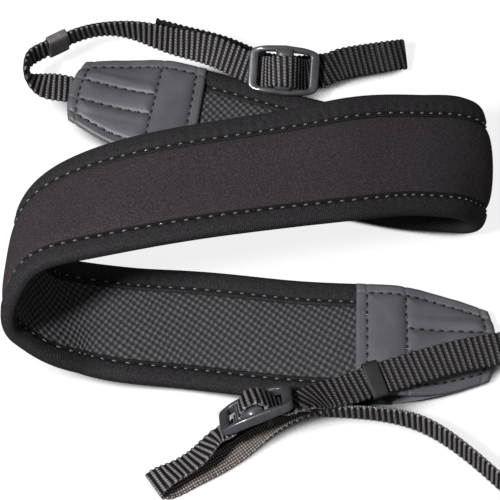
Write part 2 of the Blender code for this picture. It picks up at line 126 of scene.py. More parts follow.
def natural_spline(knots, values, at):
    """The natural cubic spline through values at the knots, read at the given places.

    The second derivatives m are zero at both ends, and at each inner knot
    h0 m0 + 2 (h0 + h1) m1 + h1 m2 is six times the change of slope.
    """
    steps = np.diff(knots)
    slopes = np.diff(values, axis=0) / steps[:, None]
    matrix = np.eye(len(knots))
    right = np.zeros_like(values)
    for i in range(1, len(knots) - 1):
        matrix[i, i - 1:i + 2] = steps[i - 1], 2.0 * (steps[i - 1] + steps[i]), steps[i]
        right[i] = 6.0 * (slopes[i] - slopes[i - 1])
    second = np.linalg.solve(matrix, right)
    i = np.clip(np.searchsorted(knots, at) - 1, 0, len(steps) - 1)
    h = steps[i][:, None]
    before = (at - knots[i])[:, None]
    after = h - before
    return ((second[i] * after ** 3 + second[i + 1] * before ** 3) / (6.0 * h)
            + (values[i] / h - second[i] * h / 6.0) * after
            + (values[i + 1] / h - second[i + 1] * h / 6.0) * before)


def curve_through(points, count):
    """A natural spline through points, measured by the chords between them, at even steps."""
    points = np.array(points, float)
    knots = np.concatenate([[0.0], np.cumsum(np.linalg.norm(np.diff(points[:, :3], axis=0), axis=1))])
    return natural_spline(knots, points, np.linspace(0.0, knots[-1], count))


class Ribbon:
    """A smooth curve with a direction across it and one out of its face at every length."""

    SAMPLES = 3000

    def __init__(self, route):
        values = curve_through(route, self.SAMPLES)
        self.centre = values[:, :3]
        self.along = unit(np.gradient(self.centre, axis=0))
        across = values[:, 3:6]
        self.across = unit(across - np.sum(across * self.along, axis=1, keepdims=True) * self.along)
        self.out = np.cross(self.along, self.across)
        self.cup = values[:, 6:]
        steps = np.linalg.norm(np.diff(self.centre, axis=0), axis=1)
        self.lengths = np.concatenate([[0.0], np.cumsum(steps)])
        self.length = self.lengths[-1]

    def read(self, table, length):
        """One of the ribbon's tables at a length, or at an array of them."""
        return np.stack([np.interp(length, self.lengths, column) for column in table.T], axis=-1)

    def bend(self, flat):
        """Points of the strap laid out straight, carried to where they lie on the ribbon.

        A flat point is a length, a distance across and a distance out of the face. A cupped band's
        edges lie back from its middle by the cup at the pad's half width, and by the square of the
        distance across elsewhere.
        """
        length, across, out = flat[..., 0], flat[..., 1:2], flat[..., 2:3]
        out = out - self.read(self.cup, length) * (across / PAD_HALF_WIDTH) ** 2
        return self.read(self.centre, length) + across * self.read(self.across, length) \
            + out * self.read(self.out, length)


def tube_faces(rings, sides, closed=False):
    """Quads between the rings of a tube that is capped at both ends, or closed to its first ring."""
    ring, side = np.mgrid[0:rings if closed else rings - 1, 0:sides]
    here, onward, beside = ring * sides, (ring + 1) % rings * sides, (side + 1) % sides
    quads = np.stack([here + side, here + beside, onward + beside, onward + side], axis=-1)
    last = (rings - 1) * sides
    caps = [] if closed else [list(range(sides))[::-1], list(range(last, last + sides))]
    return quads.reshape(-1, 4).tolist() + caps


def add_piece(name, points, faces, flat, finish, slot, *nodes):
    """Adds a piece from points in millimetres, over the solids that it stands for.

    Its attribute "flat" says where each point lies when the strap is laid out straight, so that the
    finish's pattern follows the strap round its turns. Moulded pieces keep their own axes in it.
    """
    mesh = bpy.data.meshes.new(name)
    mesh.from_pydata(((points - STRAP_MIDDLE) * MM).reshape(-1, 3).tolist(), [], faces)
    mesh.materials.append(finish)
    mesh.shade_smooth()
    laid_out = mesh.attributes.new("flat", "FLOAT_VECTOR", "POINT")
    laid_out.data.foreach_set("vector", np.asarray(flat, np.float32).ravel())
    piece = bpy.data.objects.new(name, mesh)
    bpy.context.collection.objects.link(piece)
    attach(piece, "root")
    if nodes:
        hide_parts(*nodes)
    return piece


def add_band(name, ribbon, flat, finish, slot, *nodes):
    """Adds a closed band from rings of flat points, bent along its ribbon."""
    return add_piece(name, ribbon.bend(flat), tube_faces(*flat.shape[:2]), flat, finish, slot, *nodes)


class Value:
    """A number that a finish works out at every point. Arithmetic on it adds Math nodes."""

    def __init__(self, finish, socket):
        self.finish, self.socket = finish, socket

    def maths(self, operation, *values):
        """One Math node on this value and up to two others."""
        return self.finish.node("ShaderNodeMath", {"operation": operation}, dict(enumerate((self, *values))))

    def __add__(self, other):
        return self.maths("ADD", other)

    def __mul__(self, other):
        return self.maths("MULTIPLY", other)

    def __sub__(self, other):
        return self.maths("SUBTRACT", other)

    def __rsub__(self, other):
        return self.maths("MULTIPLY", -1.0) + other

    def __abs__(self):
        return self.maths("ABSOLUTE")

    __radd__ = __add__
    __rmul__ = __mul__

    def wave(self, pitch):
        """1 and 0 by turns, once over each pitch: half of 1 plus the cosine of the angle turned."""
        return (self * (2.0 * np.pi / pitch)).maths("COSINE") * 0.5 + 0.5

    def band(self, low, high):
        """0 below low, 1 above high and a smooth rise between them."""
        return self.finish.node("ShaderNodeMapRange", {"interpolation_type": "SMOOTHSTEP"},
                                {"Value": self, "From Min": low, "From Max": high})

    def spread(self, at_zero, at_one):
        """The straight line through one number where the value is 0 and another where it is 1."""
        return self * (at_one - at_zero) + at_zero


class Finish:
    """A material under way, with the flat coordinates of its piece at hand."""

    def __init__(self, name):
        self.material = bpy.data.materials.new(name)
        self.material.use_nodes = True
        self.tree = self.material.node_tree
        self.shader = self.tree.nodes["Principled BSDF"]
        self.flat = self.node("ShaderNodeAttribute", {"attribute_name": "flat"}, {}, "Vector")
        self.length, self.across, self.out = (
            self.node("ShaderNodeSeparateXYZ", {}, {0: self.flat}, axis) for axis in "XYZ")

    def node(self, kind, settings, inputs, give=0):
        """Adds a node, makes its settings, fills its sockets and gives one of its outputs."""
        node = self.tree.nodes.new(kind)
        for key, value in settings.items():
            setattr(node, key, value)
        for key, value in inputs.items():
            self.fill(node.inputs[key], value)
        return Value(self, node.outputs[give])

    def fill(self, socket, value):
        """Links a value to a socket, or sets the socket to a plain number, vector or colour."""
        if isinstance(value, Value):
            self.tree.links.new(value.socket, socket)
        else:
            socket.default_value = value

    def noise(self, per_mm, detail=2.0):
        """Soft noise from 0 to 1, with so many waves a millimetre and so many finer layers of it."""
        return self.node("ShaderNodeTexNoise", {}, {"Vector": self.flat, "Scale": per_mm, "Detail": detail})

    def mix(self, factor, first, second):
        """The first colour where the factor is 0 and the second where it is 1."""
        pair = {0: factor}
        for socket, colour in ((6, first), (7, second)):
            pair[socket] = colour if isinstance(colour, Value) else (*colour, 1.0)
        return self.node("ShaderNodeMix", {"data_type": "RGBA"}, pair, 2)

    def relief(self, height, depth_mm):
        """A normal bumped by a height, where 1 stands depth_mm out of the face."""
        return self.node("ShaderNodeBump", {}, {"Height": height, "Distance": depth_mm * MM})

    def done(self, **sockets):
        """Fills the shader's sockets, named in lower case, and gives the material."""
        for name, value in sockets.items():
            self.fill(self.shader.inputs[name.replace("_", " ").title().replace("Ior", "IOR")], value)
        return self.material


def pad_lengths(pad, step):
    """Even lengths along the pad, from inside one tab to inside the other."""
    inside_tab = TAB_TONGUE + TAB_LENGTH - PAD_IN_TAB
    count = int((pad.length - 2.0 * inside_tab) / step)
    return np.linspace(inside_tab, pad.length - inside_tab, count)


def rings_of(lengths, profile):
    """Flat points: the same profile, as distances across and out, at every length."""
    profile = np.asarray(profile)
    flat = np.empty((len(lengths), len(profile), 3))
    flat[..., 0] = lengths[:, None]
    flat[..., 1:] = profile
    return flat


def swell(across, seam, edge, crest):
    """The height of a face that swells to its crest between two seams, and lies at edge past them.

    With the distance from the middle as a part of the seam's, the part of the full rise is (1 minus
    that distance to the power SWELL_POWER) to the power SHOULDER_POWER.
    """
    from_middle = np.minimum(np.abs(across - SEAMS_SHIFT) / seam, 1.0)
    return edge + (crest - edge) * (1.0 - from_middle ** SWELL_POWER) ** SHOULDER_POWER


def seam_shadow(cloth, seam):
    """How far painted shade darkens a face at its two seams and past them, from 0 between them."""
    return abs(cloth.across - SEAMS_SHIFT).band(seam - SEAM_BLUR, seam) * SEAM_DARKNESS


def neoprene_finish():
    """Charcoal knit, with single lighter fibres, faint broad changes of tone and painted shade at its seams.
    """
    knit = Finish("neoprene")
    fibres = knit.noise(per_mm=2.4, detail=3.0)
    lumps = knit.noise(per_mm=0.5, detail=1.0)
    tone = knit.noise(per_mm=0.06, detail=1.0)
    colour = knit.mix(fibres.band(low=0.35, high=0.75), KNIT_DARK, KNIT_LIGHT)
    colour = knit.mix(tone.band(low=0.3, high=0.8) * KNIT_FADING, colour, KNIT_FADED)
    # Painted shade darkens the knit at its seams, where the tapes sink into it.
    return knit.done(base_color=knit.mix(seam_shadow(knit, SEAM), colour, KNIT_SEAM_SHADE),
                     roughness=0.9, specular_ior_level=0.15,
                     normal=knit.relief(fibres + lumps * KNIT_LUMPS, depth_mm=0.16))


pad = Ribbon(PAD_ROUTE)
pad_rings = pad_lengths(pad, PAD_RING_STEP)
top_across = CORE_HALF_WIDTH * np.linspace(1.0, -1.0, CORE_COLUMNS)
between_seams = np.abs(top_across - SEAMS_SHIFT) < SEAM
top_height = np.where(between_seams, swell(top_across, SEAM, SEAM_HEIGHT, CROWN), CORE_EDGE)
bottom_across = np.linspace(-CORE_HALF_WIDTH, CORE_HALF_WIDTH, FLAT_COLUMNS)
core = rings_of(pad_rings, [*((x, CORE_BOTTOM) for x in bottom_across), *zip(top_across, top_height)])

# The tabs press the core's ends down to CORE_TOP_IN_TAB.
from_end = np.minimum(pad_rings - pad_rings[0], pad_rings[-1] - pad_rings)
pressed = 1.0 - smooth((from_end - PAD_IN_TAB) / TAB_SLOPE)[:, None]
core[..., 2] -= pressed * np.maximum(core[..., 2] - CORE_TOP_IN_TAB, 0.0)
neoprene = add_band("neoprene_cover", pad, core, neoprene_finish(), "neoprene", "neoprene_pad")

# ------------------------------------------------------------------------------- mesh lining
# The other side of the pad is lined with an open mesh, knitted in two slanting sets of rows of
# small raised loops with dark holes between them. It is sewn down under the same edge tapes.

LINING_TOP = -0.8
LINING_EDGE = -1.5
LINING_BOTTOM = -2.1
LINING_SEAM = 12.6
LINING_COLUMNS = 61
DRIFT_ALONG = 0.8
DRIFT_ACROSS = 0.6
HOLE_LIGHT = 0.16
YARN_RELIEF = 0.25
MESH_DARK = (0.019, 0.018, 0.021)
MESH_LIGHT = (0.108, 0.105, 0.117)
# The next colour is painted shade, for the mesh at its seams.
MESH_SEAM_SHADE = (0.003, 0.003, 0.003)

# Each set of rows has its pitch and the angle by which its rows' normal turns from the pad's length.
LoopRows = namedtuple("LoopRows", "pitch degrees")
LOOP_ROWS = (LoopRows(1.67, 24.0), LoopRows(1.97, -59.0))


def mesh_finish():
    """Raised loops where two sets of rows cross: the mean of their waves, highest at each loop."""
    mesh = Finish("mesh")
    drift = mesh.noise(per_mm=0.25, detail=1.0)
    yarn = mesh.noise(per_mm=1.3)
    length, across = mesh.length + drift * DRIFT_ALONG, mesh.across + drift * DRIFT_ACROSS
    waves = []
    for rows in LOOP_ROWS:
        angle = np.radians(rows.degrees)
        waves.append((length * np.cos(angle) + across * np.sin(angle)).wave(rows.pitch))
    loops = (waves[0] + waves[1]) * 0.5
    light = loops.band(low=0.25, high=1.0) * yarn.spread(0.3, 1.5) + yarn * HOLE_LIGHT
    colour = mesh.mix(light, MESH_DARK, MESH_LIGHT)
    # Painted shade darkens the mesh at its seams.
    return mesh.done(base_color=mesh.mix(seam_shadow(mesh, LINING_SEAM), colour, MESH_SEAM_SHADE),
                     roughness=0.8, specular_ior_level=0.2,
                     normal=mesh.relief(loops + yarn * YARN_RELIEF, depth_mm=0.45))


lining_across = CORE_HALF_WIDTH * np.linspace(-1.0, 1.0, LINING_COLUMNS)
lining_height = swell(lining_across, LINING_SEAM, LINING_EDGE, LINING_BOTTOM)
lining_top = ((x, LINING_TOP) for x in bottom_across[::-1])
lining_flat = rings_of(pad_rings, [*zip(lining_across, lining_height), *lining_top])
lining = add_band("mesh_cloth", pad, lining_flat, mesh_finish(), "mesh", "mesh_lining")

# -------------------------------------------------------------------------------- edge tapes
# A stretch tape is folded round each long edge of the pad and sewn through all layers near its own
# edges. It rounds over the foam beside the stitches, and puckers a little between them.

TAPE_WIDTH = 7.5
TAPE_COLUMNS = 40
TAPE_RIB_PITCH = 0.62
TAPE_RIB_RELIEF = 0.5
TAPE_STITCH_AT = 14.05
TAPE_STITCH_PITCH = 3.55
TAPE_PUCKER = 0.12
PUCKER_AT = 15.4
PUCKER_REACH = 1.3
TAPE_DARK = (0.010, 0.009, 0.010)
TAPE_LIGHT = (0.030, 0.026, 0.030)
# The next colour is painted shade, for the tape along its stitches.
TAPE_STITCH_SHADE = (0.002, 0.002, 0.002)

# The section of the far tape as distances across and out, from its mesh side round to its face side.
TAPE_OUTSIDE = [
    (12.6, -1.75), (13.1, -1.98), (14.05, -1.88), (15.0, -2.3), (16.8, -2.65),
    (19.0, -2.35), (20.25, -1.3), (20.5, -0.2), (20.3, 0.85), (19.1, 1.8),
    (16.8, 2.15), (15.0, 1.85), (14.05, 1.38), (13.5, 1.48), (13.1, 1.25),
]
TAPE_INSIDE = [(13.1, 0.9), (19.6, 0.9), (19.6, -1.55), (12.6, -1.55)]


def tape_finish():
    """Dark stretch knit with fine ribs that run across the tape, and painted shade along the stitches."""
    knit = Finish("tape")
    ribs = knit.length.wave(TAPE_RIB_PITCH)
    fibres = knit.noise(per_mm=1.8)
    colour = knit.mix(fibres.band(low=0.3, high=0.8), TAPE_DARK, TAPE_LIGHT)
    # Painted shade along the stitches, where the tape sinks under the thread.
    from_stitches = abs(abs(knit.across - SEAMS_SHIFT) - TAPE_STITCH_AT)
    stitch_shade = (1.0 - from_stitches.band(low=0.3, high=0.9)) * SEAM_DARKNESS
    return knit.done(base_color=knit.mix(stitch_shade, colour, TAPE_STITCH_SHADE),
                     roughness=0.8, specular_ior_level=0.25,
                     normal=knit.relief(ribs * TAPE_RIB_RELIEF + fibres, depth_mm=0.14))


tape_look = tape_finish()
tape_outside = curve_through(TAPE_OUTSIDE, TAPE_COLUMNS)
for side_name, side in (("far", 1.0), ("near", -1.0)):
    profile = np.concatenate([tape_outside, TAPE_INSIDE])
    # The folded edge stays where it is, and the sewn edges move with the seams.
    profile[:, 0] += side * SEAMS_SHIFT * (PAD_HALF_WIDTH - profile[:, 0]) / TAPE_WIDTH
    tape = rings_of(pad_rings, profile)
    beside_stitches = np.exp(-((tape[..., 1] - PUCKER_AT) / PUCKER_REACH) ** 2)
    pucker = TAPE_PUCKER * np.cos(2.0 * np.pi * tape[..., 0] / TAPE_STITCH_PITCH) * beside_stitches
    tape[:, :len(tape_outside), 2] += (np.sign(tape[..., 2]) * pucker)[:, :len(tape_outside)]
    if side_name == "near":
        tape = tape[:, ::-1] * (1.0, -1.0, 1.0)
    add_band(f"tape_{side_name}", pad, tape, tape_look, "binding", f"binding_{side_name}")

# ------------------------------------------------------------------------------ pad stitches
# One row of bonded thread holds each tape edge, on both faces. Every stitch comes up out of a
# needle hole, shows as a short glossy arch and goes down into the next hole.

THREAD_SIDES = 6
THREAD_RINGS = 7
THREAD_DIVE = 1.6
THREAD_TAPER = 0.75
TAPE_PATH_STEP = 0.5
STEPS_UNDER_TAB = 17
TAPE_THREAD_COLOUR = (0.125, 0.120, 0.125)

# Where the tape dips for its stitches, on the neoprene side, 1, and on the mesh side, -1.
TAPE_STITCH_HEIGHT = {1.0: 1.40, -1.0: -1.90}

Thread = namedtuple("Thread", "pitch length radius rise")
TAPE_THREAD = Thread(pitch=TAPE_STITCH_PITCH, length=1.4, radius=0.27, rise=0.24)


def thread_finish(name, colour):
    """Bonded thread with a slight gloss."""
    thread = Finish(name)
    return thread.done(base_color=(*colour, 1.0), roughness=0.38, coat_weight=0.3)


def stitches(path, thread, face):
    """Arches of thread along a path of flat points, as flat points of shape (stitch, ring, side).

    The place on a stitch goes from -1 at one end to 1 at the other. The arch stands out of the face
    by the rise times (1 minus THREAD_DIVE times the place squared), so its ends dive into the face.
    Its radius is the thread's times (1 minus THREAD_TAPER times the fourth power of the place).
    """
    measure = np.concatenate([[0.0], np.cumsum(np.linalg.norm(np.diff(path, axis=0), axis=1))])
    count = max(int(measure[-1] / thread.pitch), 1)
    middles = (np.arange(count) + 0.5) * measure[-1] / count
    place = np.linspace(-1.0, 1.0, THREAD_RINGS)
    at = middles[:, None] + place * thread.length / 2.0
    centre = np.stack([np.interp(at, measure, column) for column in path.T], axis=-1)
    centre[..., 2] += face * thread.rise * (1.0 - THREAD_DIVE * place ** 2)
    forward = unit(np.gradient(centre, axis=1))
    beside = unit(np.cross(forward, (0.0, 0.0, 1.0)))
    above = np.cross(beside, forward)
    thick = (thread.radius * (1.0 - THREAD_TAPER * place ** 4))[:, None, None]
    angle = np.linspace(0.0, 2.0 * np.pi, THREAD_SIDES, endpoint=False)[:, None]
    round_it = np.cos(angle) * beside[:, :, None] + np.sin(angle) * above[:, :, None]
    return centre[:, :, None] + thick * round_it


def add_stitches(name, ribbon, runs, finish, slot):
    """Adds one piece that holds every thread of several runs."""
    flat = np.concatenate(runs)
    one = tube_faces(THREAD_RINGS, THREAD_SIDES)
    size = THREAD_RINGS * THREAD_SIDES
    faces = [[corner + size * i for corner in face] for i in range(len(flat)) for face in one]
    add_piece(name, ribbon.bend(flat), faces, flat, finish, slot)


tape_runs = []
in_sight = pad_lengths(pad, TAPE_PATH_STEP)[STEPS_UNDER_TAB:-STEPS_UNDER_TAB]
for face in (1.0, -1.0):
    for side in (1.0, -1.0):
        line = (side * TAPE_STITCH_AT + SEAMS_SHIFT, TAPE_STITCH_HEIGHT[face])
        tape_runs.append(stitches(rings_of(in_sight, [line])[:, 0], TAPE_THREAD, face))
add_stitches("pad_stitches", pad, tape_runs, thread_finish("pad_thread", TAPE_THREAD_COLOUR), "binding")

# ------------------------------------------------------------------------------ leather tabs
# At each end of the pad two shaped sheets of grained leather are sewn together over the pad and
# the webbing. The stitching divides the outside into panels, which puff up a little.

# Half the tab's width at distances from its narrow end.
TAB_OUTLINE = [(0.0, 12.0), (3.0, 13.2), (9.0, 15.4), (15.0, 17.1), (21.0, 18.3), (28.0, 19.0), (41.0, 19.3)]
TONGUE_LENGTH = 12.0
BACK_TAB_SKEW = 0.15

# What lies between the sheets, and how they close round it.
TAPE_TOP = 1.9
TAPE_BOTTOM = -2.5
WEBBING_WIDTH = 9.6
WEBBING_THICKNESS = 1.3
GAP = 0.3
LEATHER_THICKNESS = 1.0
LEATHER_REACH = 1.5
LEATHER_FALL = 3.0
LEATHER_SLOPE = 20.0
LEVEL_BEFORE_PAD = 1.0
LEATHER_ROWS = 124
LEATHER_COLUMNS = 112

# The stitched lines' places, from the narrow end, the middle and the sides, and the relief at them.
NARROW_LINE = 2.6
CROSS_LINE = 25.4
WIDE_LINE = 37.6
DIVIDER_AT = 4.0
BORDER = 3.3
LONG_LINE_POINTS = 60
SHORT_LINE_POINTS = 40
THREAD_LIFT = 0.02
PUFF_REACH = 1.9
PUFF_POWER = 1.4
GROOVE_DEPTH = 0.32
GROOVE_WIDTH = 0.5
ROUNDING_DEPTH = 0.55
ROUNDING_REACH = 0.9

GRAINS_PER_MM = 1.9
GRAIN_RELIEF = 0.8
CREASE_RELIEF = 0.3
RUBBING = 0.3
LEATHER_DARK = (0.072, 0.071, 0.082)
LEATHER_LIGHT = (0.102, 0.100, 0.115)
LEATHER_RUBBED = (0.130, 0.127, 0.145)
TAB_THREAD_COLOUR = (0.007, 0.006, 0.007)

# The sheet on the mesh side, -1, is puffed. The one on the neoprene side, 1, is pressed flat.
PANEL_PUFF = {-1.0: 1.0, 1.0: 0.05}
TAB_THREAD = {-1.0: Thread(pitch=2.8, length=2.0, radius=0.32, rise=0.2),
              1.0: Thread(pitch=2.8, length=2.0, radius=0.25, rise=0.0)}


def tab_half_width(from_end):
    """Half the tab's width at a distance from its narrow end."""
    return np.interp(from_end, *np.transpose(TAB_OUTLINE))


def leather_inside(from_end, across, side):
    """How far a sheet's inner face lies from the pad's middle surface.

    It lies on the edge tapes over the pad, comes down to the webbing towards the narrow end, and
    down to the other sheet beside the webbing.
    """
    on_tapes = (TAPE_TOP if side > 0 else -TAPE_BOTTOM) + GAP
    from_webbing = np.abs(across) - WEBBING_WIDTH / 2 - LEATHER_REACH
    beside = GAP / 2 + (WEBBING_THICKNESS / 2 + GAP / 2) * (1.0 - smooth(from_webbing / LEATHER_FALL))
    from_slope = from_end - (TAB_LENGTH - PAD_IN_TAB - LEATHER_SLOPE)
    on_pad = smooth(from_slope / (LEATHER_SLOPE - LEVEL_BEFORE_PAD))
    return beside + on_pad * (on_tapes - beside)


def from_corners(from_end, across, skew):
    """The length at which a point of the tab's grid lies, measured from the narrow corners.

    The narrow edge is pushed out into a tongue, by 1 minus the square of the distance across as a
    part of the half width, which fades over TONGUE_LENGTH. The wide edge is cut out of square, by
    the skew times the distance across and the square of the part of the tab's length.
    """
    fraction = across / tab_half_width(from_end)
    tongue = TAB_TONGUE * (1.0 - fraction ** 2) * np.maximum(1.0 - from_end / TONGUE_LENGTH, 0.0)
    return from_end - tongue - skew * across * (from_end / TAB_LENGTH) ** 2


def stitch_distance(from_end, across):
    """The distance to the nearest stitched line of the tab."""
    half = tab_half_width(from_end)
    inner = half - BORDER
    divider = np.abs(np.abs(across) - DIVIDER_AT)
    to_border = np.abs(np.abs(across) - inner)
    distance = np.minimum(np.abs(from_end - CROSS_LINE), np.where(from_end < CROSS_LINE, divider, np.inf))
    for line in (NARROW_LINE, WIDE_LINE):
        distance = np.minimum(distance, np.abs(from_end - line))
    return np.minimum(distance, to_border)


def leather_outside(from_end, across, side):
    """How far a sheet's outer face lies from the pad's middle surface.

    Over its even thickness it is puffed up inside the panels, by 1 minus a falling exponential of
    the distance to the stitches, drawn in along them by a bell curve, and rounded at its edges.
    """
    half = tab_half_width(from_end)
    inside = (from_end > NARROW_LINE) & (from_end < WIDE_LINE) & (np.abs(across) < half - BORDER)
    away = stitch_distance(from_end, across)
    rise = 1.0 - np.exp(-(away / PUFF_REACH) ** PUFF_POWER)
    puff = np.where(inside, PANEL_PUFF[side] * rise, 0.0)
    groove = GROOVE_DEPTH * np.exp(-(away / GROOVE_WIDTH) ** 2)
    to_edge = np.minimum(np.minimum(from_end, TAB_LENGTH - from_end), half - np.abs(across))
    rounding = ROUNDING_DEPTH * (1.0 - smooth(to_edge / ROUNDING_REACH))
    return leather_inside(from_end, across, side) + LEATHER_THICKNESS + puff - groove - rounding


def leather_finish():
    """Grey leather with a soft sheen and a fine pebbled grain."""
    leather = Finish("leather")
    grain = leather.node("ShaderNodeTexVoronoi", {"feature": "SMOOTH_F1"},
                         {"Vector": leather.flat, "Scale": GRAINS_PER_MM, "Smoothness": 0.6})
    tone = leather.noise(per_mm=0.11)
    fine = leather.noise(per_mm=3.0)
    colour = leather.mix(tone.band(low=0.25, high=0.8), LEATHER_DARK, LEATHER_LIGHT)
    colour = leather.mix(fine.band(low=0.3, high=0.8) * RUBBING, colour, LEATHER_RUBBED)
    return leather.done(base_color=colour, roughness=tone.spread(0.42, 0.54), specular_ior_level=0.4,
                        normal=leather.relief(fine * CREASE_RELIEF - grain * GRAIN_RELIEF, depth_mm=0.05))


def leather_sheet(name, narrow_end, inward, skew, side, finish):
    """One sheet of a tab: its outer face, its inner face and the cut edge round them."""
    from_end = np.linspace(0.0, TAB_LENGTH, LEATHER_ROWS)[:, None]
    across = tab_half_width(from_end) * np.linspace(-1.0, 1.0, LEATHER_COLUMNS)
    from_end = np.broadcast_to(from_end, across.shape)
    lengths = narrow_end + inward * from_corners(from_end, across, skew)
    outer = np.stack([lengths, across, side * leather_outside(from_end, across, side)], axis=-1)
    inner = np.stack([lengths, across, side * leather_inside(from_end, across, side)], axis=-1)
    flat = np.concatenate([inner, outer[:, ::-1]], axis=1)
    turned_inside_out = side * inward < 0
    if turned_inside_out:
        flat = flat[::-1]
    add_band(name, pad, flat, finish, "leather", name.replace("leather", "tab"))


def tab_lines():
    """The tab's stitched lines as rows of distances from the narrow end and across."""
    long = np.linspace(NARROW_LINE, WIDE_LINE, LONG_LINE_POINTS)
    short = np.linspace(NARROW_LINE, CROSS_LINE, SHORT_LINE_POINTS)
    border, divider = tab_half_width(long) - BORDER, np.full_like(short, DIVIDER_AT)
    lines = [np.stack([long, sign * border], axis=1) for sign in (1.0, -1.0)]
    lines += [np.stack([short, sign * divider], axis=1) for sign in (1.0, -1.0)]
    for at in (NARROW_LINE, CROSS_LINE, WIDE_LINE):
        reach = tab_half_width(at) - BORDER
        across = np.linspace(-reach, reach, SHORT_LINE_POINTS)
        lines.append(np.stack([np.full_like(across, at), across], axis=1))
    return lines


leather_look = leather_finish()
tab_runs = []
front_end, back_end = TAB_TONGUE, pad.length - TAB_TONGUE
tab_ends = (("front", front_end, 1.0, 0.0), ("back", back_end, -1.0, BACK_TAB_SKEW))
for end_name, narrow_end, inward, skew in tab_ends:
    for face_name, side in (("face", -1.0), ("outer", 1.0)):
        leather_sheet(f"leather_{end_name}_{face_name}", narrow_end, inward, skew, side, leather_look)
        for line in tab_lines():
            height = side * (leather_outside(line[:, 0], line[:, 1], side) + THREAD_LIFT)
            lengths = narrow_end + inward * from_corners(line[:, 0], line[:, 1], skew)
            path = np.stack([lengths, line[:, 1], height], axis=1)
            tab_runs.append(stitches(path, TAB_THREAD[side], side))
add_stitches("tab_stitches", pad, tab_runs, thread_finish("tab_thread", TAB_THREAD_COLOUR), "leather")

# ---------------------------------------------------------------------------------- webbing
# Each end carries one length of narrow webbing. Its ribbed face is woven in thick cords that run
# from edge to edge, and its other face is flat with fine dots. It goes through its keeper, over the
# bar of its buckle, round a loop for the camera's lug, and back under the buckle to its free end.

# The buckle's sizes that the webbing's way through it goes by, and that way.
BUCKLE_LENGTH = 23.2
BUCKLE_THICKNESS = 2.4
BUCKLE_END_RAIL = 3.1
BUCKLE_BOW = 0.5
BAR_FLAT = 2.8
BAR_RISE = 2.2
BUCKLE_CLEARANCE = 0.42
PAST_BUCKLE = 1.0
WEBBING_DIP = 0.6
SIDEWAYS_AT_BAR = 0.7
BACK_LEAN = 1.0
WEBBING_IN_TAB = 18.0
STATIONS_IN_TAB = 4

# The ribs, the edges and the cut end.
RIB_PITCH = 1.84
RIB_HEIGHT = 0.26
RIB_RINGS = 8
RIB_SLANT = 0.10
RIB_FULLNESS = 0.8
EDGE_ROUNDING = 0.45
EDGE_BUMP = 0.35
EDGE_COLUMNS = 3
FACE_COLUMNS = 17
CUT_REACH = 2.5

BEAD_PITCH = 1.02
BEAD_SLANT = 0.31
DOT_PITCH_ALONG = 0.83
DOT_PITCH_ACROSS = 0.96
TURN_BLUR = 3.0
BEAD_RELIEF = 0.8
DOT_RELIEF = 0.4
FIBRE_RELIEF = 0.3
# The valley colour, the flat face's colours, which are partly lightened by painted light, and painted shade
# along one edge of the flat face.
VALLEY = (0.006, 0.005, 0.006)
BETWEEN_DOTS = (0.045, 0.036, 0.033)
DOT_COLOUR_AND_LIGHT = (0.43, 0.385, 0.36)
FLAT_EDGE_SHADE = (0.008, 0.007, 0.007)

# The cut end's unevenness, as sine waves over the distance across.
CutWave = namedtuple("CutWave", "depth turn start")
CUT_WAVES = (CutWave(depth=0.5, turn=2.9, start=0.0), CutWave(depth=0.35, turn=6.7, start=1.0))

Part = namedtuple("Part", "centre along across")
FRONT_BUCKLE = Part(centre=(1.6, -63.2, 14.8), along=(-0.92, -0.27, -0.27), across=(0.0, -0.8, 0.6))
BACK_BUCKLE = Part(centre=(11.0, 61.1, 11.4), along=(1.0, -0.055, -0.06), across=(0.0, 0.88, 0.47))

# From each tab's narrow end a lead runs to its buckle, and a return goes on from there to the cut end.
FRONT_LEAD = [
    Station(81, -38.5, 4.6, 0.0, -1, -0.05),
    Station(85, -40.8, 9.5, 0.0, -1, -0.10),
    Station(80, -42.2, 14.0, 0.1, -1, -0.20),
    Station(71, -43.4, 14.4, 0.2, -1, -0.25),
    Station(59, -45.7, 13.4, 0.2, -1, -0.28),
    Station(47, -49.0, 12.1, 0.2, -1, -0.28),
    Station(38.5, -51.5, 11.4, 0.2, -1, -0.22),
    Station(29, -55.0, 11.5, 0.2, -1, 0.00),
    Station(21, -57.8, 12.6, 0.2, -1, 0.30),
]
FRONT_RETURN = [
    Station(-14.6, -73.8, 6.8, 0.5, -1, 0.80),
    Station(-22, -78.8, 5.4, 0.6, -1, 0.75),
    Station(-26.6, -81.4, 4.8, 0.6, -1, 0.50),
    Station(-28.4, -82.7, 3.1, 0.6, -1, 0.30),
    Station(-26.4, -82.0, 1.6, 0.5, -1, 0.05),
    Station(-19, -78.4, 1.2, 0.5, -1, 0.05),
    Station(-11, -74.0, 1.3, 0.5, -1, 0.10),
    Station(-2, -68.3, 2.1, 0.5, -1, 0.25),
    Station(8, -62.6, 3.7, 0.3, -1, 0.90),
    Station(20, -60.0, 5.2, 0.0, -0.4, 1.00),
    Station(39, -60.2, 5.2, 0.0, -0.1, 1.00),
    Station(51, -63.2, 5.2, 0.0, 0.0, 1.00),
    Station(63, -71.3, 5.2, 0.0, 0.0, 1.00),
    Station(80, -88.5, 5.2, 0.0, 0.0, 1.00),
]
BACK_LEAD = [
    Station(-63.5, 56.1, 9.3, 0.0, -1, -0.05),
    Station(-68.5, 57.0, 9.9, 0.0, -0.95, 0.20),
    Station(-72.3, 59.5, 12.0, 0.0, -0.7, 0.70),
    Station(-72.5, 63.5, 13.2, 0.0, -0.25, 1.00),
    Station(-68.5, 67.2, 13.5, 0.0, -0.12, 1.00),
    Station(-63, 70.4, 13.7, 0.0, -0.2, 1.00),
    Station(-54, 74.4, 14.2, 0.0, -0.25, 1.00),
    Station(-45.5, 75.7, 14.4, 0.0, -0.2, 1.00),
    Station(-37, 75.0, 13.9, 0.0, 0.05, 1.00),
    Station(-25.5, 71.8, 12.9, 0.0, 0.5, 1.00),
    Station(-12, 68.0, 12.4, 0.0, 0.8, 0.70),
]
